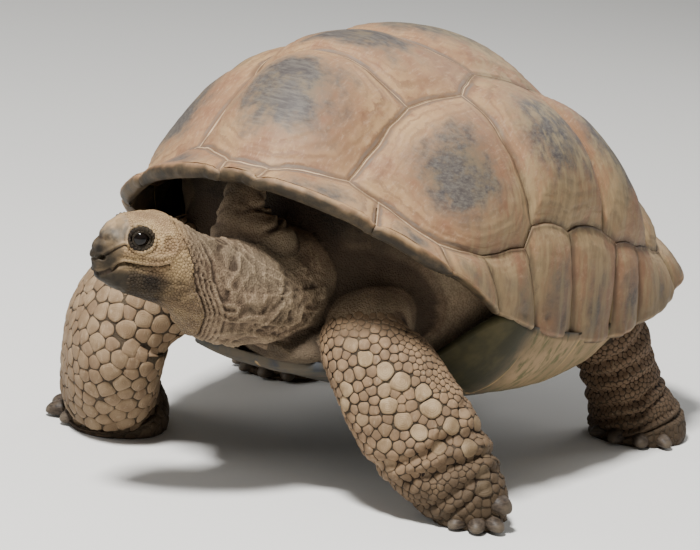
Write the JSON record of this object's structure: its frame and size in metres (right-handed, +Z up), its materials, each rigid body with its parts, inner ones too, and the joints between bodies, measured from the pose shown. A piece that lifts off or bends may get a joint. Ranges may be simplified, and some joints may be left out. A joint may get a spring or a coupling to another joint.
{
  "type": "giant tortoise",
  "caption": "Life-size still model of a walking adult giant tortoise: domed shell of horny plates, plastron, scaly legs with blunt claws, turned head on a folded neck, and short tail.",
  "frame": {"origin": "on the floor, midway along the animal's length and width", "axes": "+Z up; the animal faces -Y, so +Y runs from head to tail; +X is towards the animal's left side"},
  "size_m": [0.9041, 1.2468, 0.7015],
  "materials": {
    "shell_horn": "satin horn with growth rings",
    "plastron_horn": "satin horn, darker",
    "skin": "dry scaly skin",
    "eye": "wet gloss",
    "claw_horn": "smooth horn"
  },
  "bodies": {
    "root": {"vertebral_scute_1": "shell_horn", "vertebral_scute_2": "shell_horn", "vertebral_scute_3": "shell_horn", "vertebral_scute_4": "shell_horn", "vertebral_scute_5": "shell_horn", "costal_scute_left_1": "shell_horn", "costal_scute_left_2": "shell_horn", "costal_scute_left_3": "shell_horn", "costal_scute_left_4": "shell_horn", "costal_scute_right_1": "shell_horn", "costal_scute_right_2": "shell_horn", "costal_scute_right_3": "shell_horn", "costal_scute_right_4": "shell_horn", "marginal_scutes_front_left": "shell_horn", "marginal_scutes_front_right": "shell_horn", "marginal_scutes_side_left": "shell_horn", "marginal_scutes_side_right": "shell_horn", "marginal_scutes_rear_left": "shell_horn", "marginal_scutes_rear_right": "shell_horn", "nuchal_scute": "shell_horn", "supracaudal_scute": "shell_horn", "plastron": "plastron_horn", "trunk": "skin", "neck": "skin", "tail": "skin", "head": "skin", "eye_left": "eye", "eye_right": "eye", "leg_front_left": "skin", "leg_front_right": "skin", "leg_rear_left": "skin", "leg_rear_right": "skin", "claw_front_left_1": "claw_horn", "claw_front_left_2": "claw_horn", "claw_front_left_3": "claw_horn", "claw_front_left_4": "claw_horn", "claw_front_left_5": "claw_horn", "claw_front_right_1": "claw_horn", "claw_front_right_2": "claw_horn", "claw_front_right_3": "claw_horn", "claw_front_right_4": "claw_horn", "claw_front_right_5": "claw_horn", "claw_rear_left_1": "claw_horn", "claw_rear_left_2": "claw_horn", "claw_rear_left_3": "claw_horn", "claw_rear_left_4": "claw_horn", "claw_rear_right_1": "claw_horn", "claw_rear_right_2": "claw_horn", "claw_rear_right_3": "claw_horn", "claw_rear_right_4": "claw_horn"}
  },
  "joints": []
}
